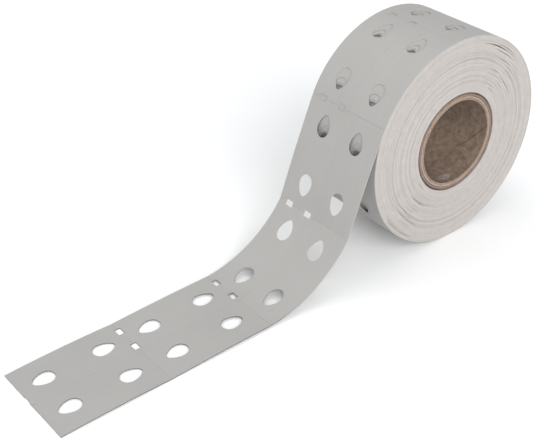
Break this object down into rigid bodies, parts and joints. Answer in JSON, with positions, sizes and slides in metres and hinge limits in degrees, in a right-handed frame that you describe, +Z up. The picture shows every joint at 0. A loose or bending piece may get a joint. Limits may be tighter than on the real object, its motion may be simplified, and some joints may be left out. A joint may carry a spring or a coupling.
{
  "type": "roll of punched cable tags",
  "caption": "Roll of two-lane punched plastic cable tags on a paper core, standing on its rim with a perforated free tail that bends at its fold lines.",
  "frame": {"origin": "centre of the core bore, at the middle of the web width, on the roll axis", "axes": "+Y along the roll axis to the far lane, which has the small register holes; +Z up; the tail runs out along -X and lies on the surface the roll stands on"},
  "size_m": [0.1637, 0.0292, 0.0627],
  "materials": {
    "web_plastic": "satin warm light grey plastic film, cream on its cut edges",
    "core_board": "raw brown core board",
    "liner_paper": "smooth brown liner paper with a spiral seam",
    "adhesive_tape": "cream paper tape"
  },
  "bodies": {
    "roll": {"core_liner": "liner_paper", "core_ply_inner": "core_board", "core_ply_outer": "core_board", "core_wrap": "core_board", "start_tab": "adhesive_tape", "loose_laps": "web_plastic", "tight_laps": "web_plastic", "tag_05_far": "web_plastic", "tag_05_near": "web_plastic", "tag_06_far": "web_plastic", "tag_06_near": "web_plastic", "tag_07_far": "web_plastic", "tag_07_near": "web_plastic", "tag_08_far": "web_plastic", "tag_08_near": "web_plastic", "tag_09_far": "web_plastic", "tag_09_near": "web_plastic", "tag_10_far": "web_plastic", "tag_10_near": "web_plastic", "fold_ties_roll": "web_plastic", "slit_ties_roll": "web_plastic", "fold_ties_04_05": "web_plastic"},
    "tail_row_4": {"tag_04_far": "web_plastic", "tag_04_near": "web_plastic", "slit_ties_04": "web_plastic", "fold_ties_03_04": "web_plastic"},
    "tail_row_3": {"tag_03_far": "web_plastic", "tag_03_near": "web_plastic", "slit_ties_03": "web_plastic", "fold_ties_02_03": "web_plastic"},
    "tail_row_2": {"tag_02_far": "web_plastic", "tag_02_near": "web_plastic", "slit_ties_02": "web_plastic", "fold_ties_01_02": "web_plastic"},
    "tail_row_1": {"tag_01_far": "web_plastic", "tag_01_near": "web_plastic", "slit_ties_01": "web_plastic"}
  },
  "joints": [
    {"name": "fold_04_05", "type": "hinge", "parent": "roll", "child": "tail_row_4", "pos_m": [-0.02791, 0, 0.01416], "axis": [0, 1, 0], "range_deg": [0, 60], "stiffness_Nm_per_rad": 0.006},
    {"name": "fold_03_04", "type": "hinge", "parent": "tail_row_4", "child": "tail_row_3", "pos_m": [-0.04077, 0, -0.01541], "axis": [0, 1, 0], "range_deg": [-60, 45], "stiffness_Nm_per_rad": 0.006},
    {"name": "fold_02_03", "type": "hinge", "parent": "tail_row_3", "child": "tail_row_2", "pos_m": [-0.06799, 0, -0.0307], "axis": [0, 1, 0], "range_deg": [-60, 60], "stiffness_Nm_per_rad": 0.004},
    {"name": "fold_01_02", "type": "hinge", "parent": "tail_row_2", "child": "tail_row_1", "pos_m": [-0.10024, 0, -0.03124], "axis": [0, 1, 0], "range_deg": [-90, 90], "stiffness_Nm_per_rad": 0.002}
  ]
}
